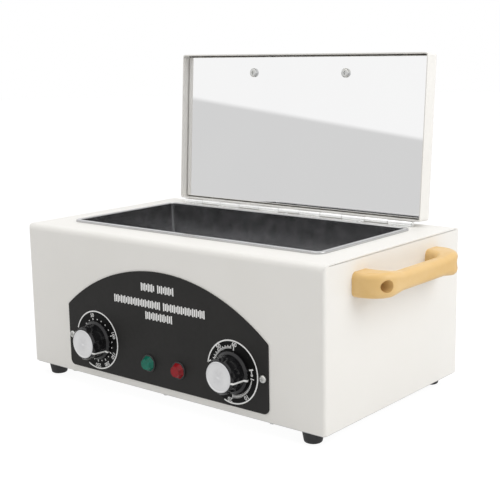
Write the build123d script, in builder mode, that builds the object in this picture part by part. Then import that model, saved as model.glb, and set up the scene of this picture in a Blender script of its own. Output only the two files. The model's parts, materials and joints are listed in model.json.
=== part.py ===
"""Dry heat sterilizer: a painted steel bench box with a heated tank, a hinged lid and two dials.

Units are millimetres. X runs along the front from left to right, Y from the front to the back
and Z is up. The origin is on the bench, under the middle of the whole object's outline.
The lid is modelled as it stands in use: open, leaning back on its two stop buttons.
"""
from math import cos, radians, sin, tan
import os

from build123d import *

# Body, which is sized round its tank and its controls
sheet = 1.0
tank_to_side = 32.0
tank_from_front = 37.0
tank_to_rear = 41.0
blanket_clear = 2.76
top_bend_r = 6.0
side_bend_r = 3.0
seam = 0.5
flange_w = 8.0

# Rear panel, screwed on over the opening in the shell's rear
rear_panel_inset = 8.0
rear_opening_inset = 16.0
rear_panel_r = 4.0

# Feet and base plate
foot_h = 11.0
foot_top_r = 9.5
foot_low_r = 7.4
foot_edge_r = 1.8
foot_recess = 5.5
foot_from_side = 20.5
foot_from_front = 12.5
base_inset = 1.0
base_screw_pitch = 120.0
vent_l = 30.0
vent_w = 3.0
vent_pitch = 9.0
vent_count = 7

# Tank
tank_l = 286.0
tank_w = 132.0
tank_depth = 60.0
tank_wall = 0.8
tank_corner_r = 4.0
rim_w = 4.6
rim_rise = 2.0
rim_round = 0.8

# Heater, its clamp and the insulation under and round the tank
heater_r = 3.25
heater_bend_r = 8.0
heater_tail = 14.0
heater_past_clamp = 11.5
clamp_from_ends = 45.0
clamp_from_sides = 18.0
clamp_corner_r = 6.0
stud_from_end = 14.0
stud_from_side = 10.0
stud_to_heater = 8.0
bulb_l = 76.0
capillary_r = 0.9
capillary_turn_r = 5.0
blanket_side = 7.0
blanket_floor = 8.0

# Hinge
hinge_rise = 2.6
knuckle_r = 2.3
knuckle_gap = 0.4
knuckles = 11
pin_r = 1.0
pin_head_r = 1.7
pin_head_t = 0.6
hinge_from_side = 7.35
leaf_t = 0.8
body_leaf_w = 11.4
lid_leaf_w = 8.0
hinge_screw_from_end = 15.5
hinge_screw_pair = 38.0
body_leaf_screw = 7.0
lid_leaf_rivet = 5.2

# Lid
lid_side_lap = 0.25
lid_rear_lap = 10.2
lid_t = 17.3
lid_edge_r = 2.5
lid_tilt = 3.9
lid_handle_from_front = 18.1
plate_recess = 7.6
plate_gap = 1.2
plate_t = 0.8
plate_flange = 5.0
stop_r = 3.0
stop_round = 1.0
stop_from_end = 40.5
stop_back = 11.5

# Handles
handle_out = 28.0
handle_bar = 13.0
handle_leg = 24.0
handle_leg_h = 20.5
handle_bar_h = 16.0
handle_bend_r = 23.0
handle_gap_r = 10.0
handle_round = 5.0
handle_taper = 16.0
handle_blend_r = 18.0
handle_screws_l = 112.0
handle_past_screws = 12.5
handle_bore_r = 5.1
handle_web = 7.0
side_handle_drop = 21.5

# Front panel; its heights are above the body's lower edge
panel_w = 240.0
panel_low = 6.0
panel_side = 65.0
panel_apex = 109.3
panel_t = 1.0
panel_corner_r = 5.5
panel_screw_from_side = 5.0
panel_screw_z = 36.0

# Controls behind the dials
dial_from_side = 38.0
dial_z = 35.6
bush_r = 4.8
bush_l = 4.5
bush_nut_flats = 14.0
bush_nut_h = 2.4
shaft_r = 3.0
shaft_seat = 12.0
shaft_flat = 0.5
control_h = 38.0
control_round = 3.0
temperature_w = 34.0
temperature_depth = 26.0
timer_w = 40.0
timer_depth = 32.0
back_boss_r = 11.0
back_boss_l = 3.0
tab_w = 0.8
tab_h = 6.3
tab_l = 8.0
temperature_angle = -29.0
timer_angle = -12.5

# Knobs, measured out from the panel's face
knob_h = 18.3
knob_lift = 0.8
skirt_r = 18.0
skirt_t = 1.6
skirt_slope = 1.4
grip_low_r = 15.9
grip_top_r = 15.2
grip_edge = 1.5
knob_wall = 1.6
knob_roof = 3.0
boss_wall = 2.4
cap_r = 13.1
cap_t = 1.1
cap_lip_w = 0.7
cap_roll = 0.35
flutes = 6
flute_r = 9.0
flute_depth = 1.3

# Signal lamps
lamp_green_x = -15.0
lamp_red_x = 21.0
lamp_z = 25.5
bezel_r = 7.9
bezel_t = 1.4
bezel_round = 0.6
lens_r = 7.2
lens_h = 5.6
lens_sides = 8
lens_slope = 26.0
lens_seat = 0.8
lamp_barrel_r = 4.9
lamp_barrel_l = 22.0
lamp_nut_flats = 14.0
lamp_nut_h = 3.0

# Fasteners
m3_r = 1.5
m3_head_r = 2.6
m3_head_h = 1.2
panel_head_r = 3.3
panel_head_h = 2.0
m4_r = 2.0
m4_head_r = 4.0
m4_head_h = 2.6
lid_head_r = 4.4
nut_flats = 7.0
nut_h = 3.2
screw_proud = 0.8
cross_w = 0.9

# Cord entry at the rear and the terminal block on the base plate
gland_from_side = 55.0
gland_z = 28.0
gland_r = 6.0
gland_bore_r = 3.6
gland_flange_r = 9.5
gland_flange_t = 3.0
gland_out = 9.0
gland_in = 8.0
gland_nut_flats = 17.0
terminal_x = 20.0
terminal_l = 36.0
terminal_w = 18.0
terminal_h = 14.0
terminal_poles = 3

# Clearances
hole_fit = 0.2
thread_fit = 0.02
shaft_fit = 0.05
tank_fit = 0.4
solid_gap = 0.3

# Overall sizes: the lid covers the tank's rim, and the body follows the tank and the controls
lid_w = tank_l + 2 * (rim_w + lid_side_lap)
lid_l = tank_w + 2 * rim_w + lid_rear_lap
body_w = tank_l + 2 * tank_to_side
body_d = tank_from_front + tank_w + tank_to_rear
heater_stack = 2 * (heater_r + thread_fit) + sheet + nut_h + screw_proud + solid_gap
tank_stack = tank_depth - rim_rise + tank_wall + heater_stack + blanket_floor
body_h = dial_z + control_h / 2 + blanket_clear + tank_stack

# Spans that follow the overall sizes
clamp_l = tank_l - 2 * clamp_from_ends
clamp_w = tank_w - 2 * clamp_from_sides
stud_dx = clamp_l / 2 - stud_from_end
stud_dy = clamp_w / 2 - stud_from_side
heater_l = clamp_l + 2 * heater_past_clamp
heater_pitch = 2 * (stud_dy - stud_to_heater)
hinge_l = lid_w - 2 * hinge_from_side
hinge_screw_end = hinge_l / 2 - hinge_screw_from_end
hinge_screw_in = hinge_screw_end - hinge_screw_pair
hinge_screw_xs = (-hinge_screw_end, -hinge_screw_in, 0.0, hinge_screw_in, hinge_screw_end)
stop_x = hinge_l / 2 - stop_from_end
side_handle_z = body_h - side_handle_drop
panel_screw_x = panel_w / 2 - panel_screw_from_side
dial_x = panel_w / 2 - dial_from_side
gland_x = body_w / 2 - gland_from_side
handle_l = handle_screws_l + 2 * handle_past_screws
rear_screw_inset = (rear_panel_inset + rear_opening_inset) / 2

# Levels
body_z = foot_h + sheet
top_z = body_z + body_h
under_top_z = top_z - sheet
hinge_z = top_z + hinge_rise
rim_z = top_z + rim_rise
tank_floor_z = rim_z - tank_depth
tank_under_z = tank_floor_z - tank_wall
heater_z = tank_under_z - heater_r - thread_fit
clamp_z = heater_z - heater_r - thread_fit
blanket_in_z = clamp_z - sheet - nut_h - screw_proud - solid_gap
blanket_z = blanket_in_z - blanket_floor
heater_end_z = blanket_z - heater_tail

# Lid levels, measured from the hinge axis towards the lid's outside
tilt = radians(lid_tilt)
lid_rim = rim_rise + solid_gap - hinge_rise
lid_outer = lid_rim + lid_t
plate_face = lid_rim + plate_recess
lid_handle_u = hinge_rise + lid_l - lid_handle_from_front

# Front to back: the whole outline, knob caps to lid handle, is centred on the origin
knob_reach = panel_t + knob_h
hinge_from_front = tank_from_front - rim_w + lid_l + hinge_rise
handle_behind_hinge = (
    (lid_handle_u + handle_bar_h / 2 - handle_round) * sin(tilt)
    + (lid_outer + handle_out - handle_round) * cos(tilt)
    + handle_round
)
front_y = -(hinge_from_front + handle_behind_hinge - knob_reach) / 2
mid_y = front_y + body_d / 2
rear_y = front_y + body_d
tank_y = front_y + tank_from_front + tank_w / 2
hinge_y = front_y + hinge_from_front

# Planes that carry the pieces; the lid plane's y runs from the hinge to the lid's front edge
body_plane = Plane(origin=(0, mid_y, 0))
tank_plane = Plane(origin=(0, tank_y, 0))
front_plane = Plane(origin=(0, front_y, body_z), x_dir=(1, 0, 0), z_dir=(0, -1, 0))
panel_face = front_plane.offset(panel_t)
rear_plane = Plane(origin=(0, rear_y, body_z), x_dir=(-1, 0, 0), z_dir=(0, 1, 0))
rear_face = rear_plane.offset(sheet)
hinge_plane = Plane(origin=(0, hinge_y, hinge_z), x_dir=(-1, 0, 0), z_dir=(0, 0, 1))
lid_plane = Plane(
    origin=(0, hinge_y, hinge_z),
    x_dir=(-1, 0, 0),
    z_dir=(0, cos(tilt), -sin(tilt)),
)
lid_outward = Axis(lid_plane.origin, lid_plane.z_dir)

# Places of repeated fasteners
foot_dx = body_w / 2 - foot_from_side
foot_dy = body_d / 2 - foot_from_front
base_screw_dy = body_d / 2 - flange_w / 2
rear_screws_at = [
    (x, z)
    for x in (rear_screw_inset - body_w / 2, 0, body_w / 2 - rear_screw_inset)
    for z in (rear_screw_inset, body_h - rear_screw_inset)
]
panel_screws_at = [(-panel_screw_x, panel_screw_z), (panel_screw_x, panel_screw_z)]
lamps_at = [(lamp_green_x, lamp_z), (lamp_red_x, lamp_z)]
dials_at = [(-dial_x, dial_z), (dial_x, dial_z)]
handle_screws_at = [(-handle_screws_l / 2, 0), (handle_screws_l / 2, 0)]
lid_screws_at = [(x, lid_handle_u) for x, _ in handle_screws_at]
studs_at = [(x, y) for x in (-stud_dx, stud_dx) for y in (-stud_dy, stud_dy)]
tails_at = [(-heater_l / 2, -heater_pitch / 2), (-heater_l / 2, heater_pitch / 2)]
capillary_x = -heater_l / 2 - heater_bend_r - heater_r

os.makedirs("parts", exist_ok=True)


def save(part, name):
    """Label one finished piece and write it as its own node."""
    part.label = name
    export_step(part, f"parts/{name}.step")


def folded_box(inset):
    """Block with the folded body's bends, drawn inset from its outside faces."""
    height = body_h - 2 * inset
    side_plane = Plane(origin=(0, mid_y, body_z + body_h / 2), x_dir=(0, 1, 0), z_dir=(1, 0, 0))
    with BuildPart() as box:
        with BuildSketch(body_plane.offset(body_z + inset)):
            RectangleRounded(body_w - 2 * inset, body_d - 2 * inset, side_bend_r - inset)
        extrude(amount=height)
        with BuildSketch(side_plane) as side:
            Rectangle(body_d - 2 * inset, height)
            fillet(side.vertices().group_by(Axis.Y)[-1], top_bend_r - inset)
        extrude(amount=body_w, both=True, mode=Mode.INTERSECT)
    return box.part


def round_holes(plane, places, radius, depth):
    """Plain drilled holes, as one solid to cut away, going in behind a plane."""
    with BuildPart() as drill:
        with BuildSketch(plane):
            with Locations(*places):
                Circle(radius)
        extrude(amount=-depth)
    return drill.part


def front_holes(plane, depth):
    """Every hole that the front sheet and the panel share, as one solid to cut away."""
    with BuildPart() as drill:
        with BuildSketch(plane):
            with Locations(*dials_at):
                Circle(bush_r + hole_fit)
            with Locations(*lamps_at):
                Circle(lamp_barrel_r + hole_fit)
            with Locations(*panel_screws_at):
                Circle(m3_r + hole_fit)
        extrude(amount=-depth)
    return drill.part


def nuts(plane, places, flats, bore_r, height):
    """Hexagon nuts standing on a plane."""
    with BuildPart() as group:
        with BuildSketch(plane):
            with Locations(*places):
                RegularPolygon(flats / 2, 6, major_radius=False)
                Circle(bore_r + thread_fit, mode=Mode.SUBTRACT)
        extrude(amount=height)
    return group.part


def pan_screws(plane, places, head_r, head_h, shank_r, shank_l):
    """Pan-head screws with a cross recess: heads stand on the plane and shanks go in behind it."""
    with BuildPart() as group:
        with BuildSketch(plane):
            with Locations(*places):
                Circle(head_r)
        extrude(amount=head_h)
        outward = Axis(plane.origin, plane.z_dir)
        fillet(group.edges().group_by(outward)[-1], head_h * 0.55)
        with BuildSketch(plane.offset(head_h)):
            with Locations(*places):
                Rectangle(4 * cross_w, cross_w)
                Rectangle(cross_w, 4 * cross_w)
        extrude(amount=-head_h / 2, mode=Mode.SUBTRACT)
        with BuildSketch(plane):
            with Locations(*places):
                Circle(shank_r)
        extrude(amount=-shank_l)
    return group.part


# Outer shell: folded and painted sheet, open below and slit along both top side edges
box_outside = folded_box(0)
box_inside = folded_box(sheet)
top_inward = hinge_plane.offset(-hinge_rise)
body_leaf_screws_at = [(x, body_leaf_screw) for x in hinge_screw_xs]
stops_at = [(-stop_x, -stop_back), (stop_x, -stop_back)]
with BuildPart() as outer_shell:
    add(box_outside)
    add(box_inside, mode=Mode.SUBTRACT)
    with BuildSketch(body_plane.offset(body_z)):
        Rectangle(body_w - 2 * flange_w, body_d - 2 * flange_w)
    extrude(amount=sheet, mode=Mode.SUBTRACT)
    with BuildSketch(tank_plane.offset(top_z)):
        RectangleRounded(
            tank_l + 2 * (tank_wall + tank_fit),
            tank_w + 2 * (tank_wall + tank_fit),
            tank_corner_r + tank_wall + tank_fit,
        )
    extrude(amount=-sheet, mode=Mode.SUBTRACT)
    with BuildSketch(body_plane.offset(under_top_z)):
        with Locations((-body_w / 2, 0), (body_w / 2, 0)):
            Rectangle(2 * sheet, body_d - 2 * top_bend_r)
    extrude(amount=-seam, mode=Mode.SUBTRACT)
    with BuildSketch(Plane(origin=(0, mid_y, body_z), x_dir=(0, 1, 0), z_dir=(1, 0, 0))):
        with Locations(*[(x, side_handle_z) for x, _ in handle_screws_at]):
            Circle(m4_r + hole_fit)
    extrude(amount=body_w, both=True, mode=Mode.SUBTRACT)
    add(front_holes(front_plane, sheet), mode=Mode.SUBTRACT)
    with BuildSketch(rear_plane):
        with Locations((0, body_h / 2)):
            RectangleRounded(body_w - 2 * rear_opening_inset, body_h - 2 * rear_opening_inset, rear_panel_r)
    extrude(amount=-sheet, mode=Mode.SUBTRACT)
    add(round_holes(rear_plane, rear_screws_at, m3_r + thread_fit, sheet), mode=Mode.SUBTRACT)
    add(round_holes(top_inward, body_leaf_screws_at, m3_r, sheet), mode=Mode.SUBTRACT)
    add(round_holes(top_inward, stops_at, m3_r, sheet), mode=Mode.SUBTRACT)
    with BuildSketch(body_plane.offset(body_z)):
        with GridLocations(base_screw_pitch, 2 * base_screw_dy, 3, 2):
            Circle(m3_r)
    extrude(amount=sheet, mode=Mode.SUBTRACT)
save(outer_shell.part, "outer_shell")

# Rear panel: flat painted sheet with the hole for the cord entry
gland_at = [(-gland_x, gland_z)]
with BuildPart() as rear_panel:
    with BuildSketch(rear_plane):
        with Locations((0, body_h / 2)):
            RectangleRounded(body_w - 2 * rear_panel_inset, body_h - 2 * rear_panel_inset, rear_panel_r)
    extrude(amount=sheet)
    add(round_holes(rear_face, rear_screws_at, m3_r + hole_fit, sheet), mode=Mode.SUBTRACT)
    add(round_holes(rear_face, gland_at, gland_r + hole_fit, sheet), mode=Mode.SUBTRACT)
save(rear_panel.part, "rear_panel")
rear_screw_l = 2 * sheet + screw_proud
save(pan_screws(rear_face, rear_screws_at, m3_head_r, m3_head_h, m3_r, rear_screw_l), "rear_screws")

# Base plate: flat sheet under the shell's turned-in flange, with cooling slots
with BuildPart() as base_plate:
    with BuildSketch(body_plane.offset(foot_h)):
        RectangleRounded(body_w - 2 * base_inset, body_d - 2 * base_inset, side_bend_r)
        with GridLocations(2 * foot_dx, 2 * foot_dy, 2, 2):
            Circle(m4_r + hole_fit, mode=Mode.SUBTRACT)
        with GridLocations(base_screw_pitch, 2 * base_screw_dy, 3, 2):
            Circle(m3_r + hole_fit, mode=Mode.SUBTRACT)
        with GridLocations(body_w / 2, vent_pitch, 2, vent_count):
            SlotOverall(vent_l, vent_w, mode=Mode.SUBTRACT)
        with Locations((terminal_x, 0)):
            Circle(m3_r + hole_fit, mode=Mode.SUBTRACT)
    extrude(amount=sheet)
save(base_plate.part, "base_plate")

with BuildPart() as base_screws:
    with BuildSketch(body_plane.offset(foot_h)):
        with GridLocations(base_screw_pitch, 2 * base_screw_dy, 3, 2):
            Circle(m3_head_r)
    extrude(amount=-m3_head_h)
    fillet(base_screws.edges().group_by(Axis.Z)[0], m3_head_h / 2)
    with BuildSketch(body_plane.offset(foot_h)):
        with GridLocations(base_screw_pitch, 2 * base_screw_dy, 3, 2):
            Circle(m3_r - thread_fit)
    extrude(amount=4 * sheet)
save(base_screws.part, "base_screws")

# Four tapered rubber feet, each held by a recessed screw and a nut on the base plate
foot_places = {
    "foot_front_left": (-foot_dx, mid_y - foot_dy),
    "foot_front_right": (foot_dx, mid_y - foot_dy),
    "foot_rear_left": (-foot_dx, mid_y + foot_dy),
    "foot_rear_right": (foot_dx, mid_y + foot_dy),
}
for foot_name, (foot_px, foot_py) in foot_places.items():
    with BuildPart() as foot:
        with BuildSketch(Plane(origin=(foot_px, foot_py, 0), x_dir=(1, 0, 0), z_dir=(0, -1, 0))) as side:
            with BuildLine():
                Polyline(
                    (m4_r + hole_fit, foot_recess),
                    (m4_head_r + solid_gap, foot_recess),
                    (m4_head_r + solid_gap, 0),
                    (foot_low_r, 0),
                    (foot_top_r, foot_h),
                    (m4_r + hole_fit, foot_h),
                    close=True,
                )
            make_face()
            fillet(side.vertices().group_by(Axis.Y)[0].sort_by(Axis.X)[-1], foot_edge_r)
        revolve(axis=Axis((foot_px, foot_py, 0), (0, 0, 1)))
    save(foot.part, foot_name)

with BuildPart() as foot_screws:
    with BuildSketch(body_plane.offset(foot_recess)):
        with GridLocations(2 * foot_dx, 2 * foot_dy, 2, 2):
            Circle(m4_head_r)
    extrude(amount=-m4_head_h)
    with BuildSketch(body_plane.offset(foot_recess)):
        with GridLocations(2 * foot_dx, 2 * foot_dy, 2, 2):
            Circle(m4_r)
    extrude(amount=foot_h - foot_recess + sheet + nut_h + screw_proud)
save(foot_screws.part, "foot_screws")

foot_nuts_at = [(x, y) for x in (-foot_dx, foot_dx) for y in (-foot_dy, foot_dy)]
save(nuts(body_plane.offset(body_z), foot_nuts_at, nut_flats, m4_r, nut_h), "foot_nuts")


# Tank: folded stainless tray with a rolled rim and four studs welded under its floor
def tank_cavity():
    """The space inside the tank, rounded where its walls meet its floor."""
    with BuildPart() as space:
        with BuildSketch(tank_plane.offset(tank_floor_z)):
            RectangleRounded(tank_l, tank_w, tank_corner_r)
        extrude(amount=tank_depth)
        fillet(space.edges().group_by(Axis.Z)[0], tank_corner_r - tank_wall)
    return space.part


tank_space = tank_cavity()
with BuildPart() as tank:
    with BuildSketch(tank_plane.offset(tank_under_z)):
        RectangleRounded(tank_l + 2 * tank_wall, tank_w + 2 * tank_wall, tank_corner_r + tank_wall)
    extrude(amount=rim_z - tank_under_z)
    fillet(tank.edges().group_by(Axis.Z)[0], tank_corner_r)
    with BuildSketch(tank_plane.offset(top_z)):
        RectangleRounded(tank_l + 2 * rim_w, tank_w + 2 * rim_w, tank_corner_r + rim_w)
    extrude(amount=rim_rise)
    add(tank_space, mode=Mode.SUBTRACT)
    fillet(tank.faces().sort_by(Axis.Z)[-1].edges(), rim_round)
    with BuildSketch(tank_plane.offset(tank_under_z)):
        with Locations(*studs_at):
            Circle(m4_r)
    extrude(amount=-(2 * heater_r + sheet + nut_h + screw_proud))
save(tank.part, "tank")

# Heating element: one round tube bent to a U, its two ends turned down through the blanket
tail_x = -heater_l / 2
element_near = tank_y - heater_pitch / 2
element_far = tank_y + heater_pitch / 2
with BuildPart() as heating_element:
    with BuildLine() as element_path:
        FilletPolyline(
            (tail_x, element_near, heater_end_z),
            (tail_x, element_near, heater_z),
            (-tail_x, element_near, heater_z),
            (-tail_x, element_far, heater_z),
            (tail_x, element_far, heater_z),
            (tail_x, element_far, heater_end_z),
            radius=heater_bend_r,
        )
    with BuildSketch(Plane(origin=(tail_x, element_near, heater_end_z))):
        Circle(heater_r)
    sweep()
save(heating_element.part, "heating_element")

# Plate that clamps the element and the sensing bulb against the tank's floor, and its nuts
with BuildPart() as heater_clamp:
    with BuildSketch(tank_plane.offset(clamp_z)):
        RectangleRounded(clamp_l, clamp_w, clamp_corner_r)
        with Locations(*studs_at):
            Circle(m4_r + hole_fit, mode=Mode.SUBTRACT)
    extrude(amount=-sheet)
save(heater_clamp.part, "heater_clamp")
save(nuts(tank_plane.offset(clamp_z - sheet - nut_h), studs_at, nut_flats, m4_r, nut_h), "clamp_nuts")

# Sensing bulb between the element's legs, with the capillary down to the temperature control
capillary_low = body_z + dial_z + control_h / 2 - capillary_turn_r
capillary_front = front_y + sheet + temperature_depth
capillary_side = -dial_x - temperature_w / 4
with BuildPart() as sensing_bulb:
    with BuildSketch(Plane(origin=(-bulb_l / 2, tank_y, heater_z), z_dir=(1, 0, 0))):
        Circle(heater_r)
    extrude(amount=bulb_l)
    with BuildLine() as capillary_path:
        FilletPolyline(
            (-bulb_l / 2, tank_y, heater_z),
            (capillary_x, tank_y, heater_z),
            (capillary_x, tank_y, capillary_low),
            (capillary_side, tank_y, capillary_low),
            (capillary_side, capillary_front, capillary_low),
            radius=capillary_turn_r,
        )
    with BuildSketch(Plane(origin=(-bulb_l / 2, tank_y, heater_z), z_dir=(-1, 0, 0))):
        Circle(capillary_r)
    sweep(path=capillary_path.wires()[0])
save(sensing_bulb.part, "sensing_bulb")

# Insulation blanket: a tub of glass wool round the tank's walls and under its heater
blanket_in_l = tank_l + 2 * (tank_wall + solid_gap)
blanket_in_w = tank_w + 2 * (tank_wall + solid_gap)
with BuildPart() as insulation_blanket:
    with BuildSketch(tank_plane.offset(blanket_z)):
        RectangleRounded(
            blanket_in_l + 2 * blanket_side,
            blanket_in_w + 2 * blanket_side,
            tank_corner_r + tank_wall + blanket_side,
        )
    extrude(amount=under_top_z - solid_gap - blanket_z)
    with BuildSketch(tank_plane.offset(blanket_in_z)):
        RectangleRounded(blanket_in_l, blanket_in_w, tank_corner_r + tank_wall)
    extrude(amount=top_z - blanket_in_z, mode=Mode.SUBTRACT)
    with BuildSketch(tank_plane.offset(blanket_in_z)):
        with Locations(*tails_at):
            Circle(heater_r + solid_gap)
        with Locations((capillary_x, 0)):
            Circle(capillary_r + solid_gap)
    extrude(amount=-blanket_floor, mode=Mode.SUBTRACT)
save(insulation_blanket.part, "insulation_blanket")


# Controls: a temperature control and a timer behind the front sheet, alike in their mounting
def control_body(x, width, depth):
    """Control block with its threaded bush through the panel and a blind bore for its shaft."""
    bore_l = bush_l + panel_t + sheet + shaft_seat + solid_gap
    behind = front_plane.offset(-sheet)
    tab_x = width / 3
    tab_z = dial_z - control_h / 3
    with BuildPart() as control:
        with BuildSketch(behind) as block:
            with Locations((x, dial_z)):
                Rectangle(width, control_h)
            fillet(block.vertices(), control_round)
        extrude(amount=-depth)
        with BuildSketch(behind.offset(-depth)):
            with Locations((x, dial_z)):
                Circle(back_boss_r)
        extrude(amount=-back_boss_l)
        with BuildSketch(behind.offset(-depth)):
            with Locations((x - tab_x, tab_z), (x + tab_x, tab_z)):
                Rectangle(tab_w, tab_h)
        extrude(amount=-tab_l)
        with BuildSketch(behind):
            with Locations((x, dial_z)):
                Circle(bush_r)
        extrude(amount=sheet + panel_t + bush_l)
        bore = round_holes(panel_face.offset(bush_l), [(x, dial_z)], shaft_r + shaft_fit, bore_l)
        add(bore, mode=Mode.SUBTRACT)
    return control.part


def shaft_profile(x, angle, radius):
    """Round section with one flat that keys a knob to its shaft."""
    with BuildSketch() as section:
        with Locations((x, dial_z)):
            Circle(radius)
        with Locations(Location((x, dial_z, 0), (0, 0, angle))):
            with Locations((2 * radius - shaft_flat, 0)):
                Rectangle(2 * radius, 2 * radius, mode=Mode.SUBTRACT)
    return section.sketch


def shaft(x, angle):
    """Control shaft: round in its bush and keyed where the knob sits."""
    with BuildPart() as rod:
        with BuildSketch(front_plane.offset(-sheet - shaft_seat)):
            with Locations((x, dial_z)):
                Circle(shaft_r)
        extrude(amount=shaft_seat + sheet + panel_t + bush_l)
        with BuildSketch(panel_face.offset(bush_l)):
            add(shaft_profile(x, angle, shaft_r))
        extrude(amount=knob_h - cap_t - knob_roof - bush_l - solid_gap)
    return rod.part


def half_section(x):
    """Plane through a knob's axis: x is the radius and y is the way out from the panel."""
    return Plane(origin=(x, panel_face.origin.Y, body_z + dial_z), x_dir=(1, 0, 0), z_dir=(0, 0, -1))


def knob_axis(x):
    """Turning axis of the knob on one dial."""
    return Axis((x, panel_face.origin.Y, body_z + dial_z), (0, -1, 0))


def knob(x, angle):
    """Fluted knob: a round skirt, a lobed grip, a keyed boss inside and a lip round the cap."""
    skirt_top = knob_lift + skirt_t
    grip_foot = skirt_top + skirt_slope
    seat_h = knob_h - cap_t
    lip_h = seat_h + cap_t / 2
    hollow_h = seat_h - knob_roof
    hollow_r = grip_top_r - flute_depth - knob_wall
    with BuildPart() as grip:
        with BuildSketch(half_section(x)):
            with BuildLine():
                Polyline(
                    (hollow_r + knob_wall, knob_lift),
                    (skirt_r, knob_lift),
                    (skirt_r, skirt_top),
                    (grip_low_r, grip_foot),
                    (grip_top_r, lip_h - grip_edge),
                    (cap_r + cap_lip_w, lip_h),
                    (cap_r + thread_fit, lip_h),
                    (cap_r + thread_fit, seat_h),
                    (0, seat_h),
                    (0, hollow_h),
                    (hollow_r, hollow_h),
                    close=True,
                )
            make_face()
        revolve(axis=knob_axis(x))
        with BuildSketch(panel_face.offset(bush_l + solid_gap)):
            with Locations((x, dial_z)):
                Circle(shaft_r + boss_wall)
            add(shaft_profile(x, angle, shaft_r + thread_fit), mode=Mode.SUBTRACT)
        extrude(amount=hollow_h - bush_l - solid_gap)
        with BuildSketch(panel_face.offset(grip_foot)):
            with Locations(Location((x, dial_z, 0))):
                with PolarLocations(grip_top_r + flute_r - flute_depth, flutes, angle + 180 / flutes):
                    Circle(flute_r)
        extrude(amount=knob_h, mode=Mode.SUBTRACT)
    return grip.part


def knob_cap(x):
    """Spun aluminium disc pressed into the knob, slightly dished inside its rolled edge."""
    seat_h = knob_h - cap_t
    with BuildPart() as cap:
        with BuildSketch(half_section(x)):
            with BuildLine():
                Polyline(
                    (0, seat_h),
                    (cap_r, seat_h),
                    (cap_r, knob_h - cap_roll),
                    (cap_r - cap_roll, knob_h),
                    (cap_r - 3 * cap_roll, knob_h),
                    (cap_r - 4 * cap_roll, knob_h - cap_roll),
                    (0, knob_h - cap_roll / 2),
                    close=True,
                )
            make_face()
        revolve(axis=knob_axis(x))
    return cap.part


for control_name, x, angle, width, depth in (
    ("temperature", -dial_x, temperature_angle, temperature_w, temperature_depth),
    ("timer", dial_x, timer_angle, timer_w, timer_depth),
):
    save(control_body(x, width, depth), f"{control_name}_body")
    save(nuts(panel_face, [(x, dial_z)], bush_nut_flats, bush_r, bush_nut_h), f"{control_name}_nut")
    save(shaft(x, angle), f"{control_name}_shaft")
    save(knob(x, angle), f"{control_name}_knob")
    save(knob_cap(x), f"{control_name}_knob_cap")

# Front panel: thin black plate with a curved top edge
with BuildPart() as front_panel:
    with BuildSketch(front_plane) as panel_outline:
        with BuildLine():
            Line((-panel_w / 2, panel_side), (-panel_w / 2, panel_low))
            Line((-panel_w / 2, panel_low), (panel_w / 2, panel_low))
            Line((panel_w / 2, panel_low), (panel_w / 2, panel_side))
            ThreePointArc((panel_w / 2, panel_side), (0, panel_apex), (-panel_w / 2, panel_side))
        make_face()
        fillet(panel_outline.vertices().group_by(Axis.Y)[0], panel_corner_r)
        fillet(panel_outline.vertices().group_by(Axis.Y)[-1], panel_corner_r / 2)
    extrude(amount=panel_t)
    add(front_holes(panel_face, panel_t), mode=Mode.SUBTRACT)
save(front_panel.part, "front_panel")

panel_screw_l = panel_t + sheet + nut_h + screw_proud
save(
    pan_screws(panel_face, panel_screws_at, panel_head_r, panel_head_h, m3_r, panel_screw_l),
    "panel_screws",
)
panel_nuts_plane = front_plane.offset(-sheet - nut_h)
save(nuts(panel_nuts_plane, panel_screws_at, nut_flats, m3_r, nut_h), "panel_nuts")


# Signal lamps: black bezel and barrel, a faceted lens and a nut behind the sheet
def lamp_body(x):
    """Lamp holder with its bezel on the panel and its barrel through the sheet."""
    with BuildPart() as holder:
        with BuildSketch(panel_face):
            with Locations((x, lamp_z)):
                Circle(bezel_r)
        extrude(amount=bezel_t)
        fillet(holder.edges().group_by(Axis.Y)[0], bezel_round)
        with BuildSketch(panel_face):
            with Locations((x, lamp_z)):
                Circle(lamp_barrel_r)
        extrude(amount=-lamp_barrel_l)
        seat = round_holes(panel_face.offset(bezel_t), [(x, lamp_z)], lens_r - bezel_round, lens_seat)
        add(seat, mode=Mode.SUBTRACT)
    return holder.part


def lamp_lens(x):
    """Moulded lens with sloping facets round a flat front, and a round plug in its bezel."""
    with BuildPart() as lens:
        with BuildSketch(panel_face.offset(bezel_t)):
            with Locations((x, lamp_z)):
                RegularPolygon(lens_r, lens_sides, rotation=180 / lens_sides)
        extrude(amount=lens_h - bezel_t, taper=lens_slope)
        with BuildSketch(panel_face.offset(bezel_t)):
            with Locations((x, lamp_z)):
                Circle(lens_r - bezel_round - thread_fit)
        extrude(amount=-lens_seat)
    return lens.part


save(lamp_body(lamp_green_x), "green_lamp_body")
save(lamp_lens(lamp_green_x), "green_lamp_lens")
save(lamp_body(lamp_red_x), "red_lamp_body")
save(lamp_lens(lamp_red_x), "red_lamp_lens")
lamp_nuts_plane = front_plane.offset(-sheet - lamp_nut_h)
save(nuts(lamp_nuts_plane, lamps_at, lamp_nut_flats, lamp_barrel_r, lamp_nut_h), "lamp_nuts")


# Lid: folded tray with its mirror-finished inner plate set back from the rim
def lid_block(level, inset, height, corner_r):
    """Block of the lid's outline, drawn inset, from a level above the hinge axis outwards."""
    with BuildPart() as block:
        with BuildSketch(lid_plane.offset(level)):
            with Locations((0, hinge_rise + lid_l / 2)):
                RectangleRounded(lid_w - 2 * inset, lid_l - 2 * inset, corner_r)
        extrude(amount=height)
    return block.part


def lid_tray(inset, corner_r):
    """Lid's outline with the bend round its outer face, drawn inset."""
    with BuildPart() as tray:
        add(lid_block(lid_rim, inset, lid_t - inset, corner_r))
        fillet(tray.faces().sort_by(lid_outward)[-1].edges(), corner_r - thread_fit)
    return tray.part


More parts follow.
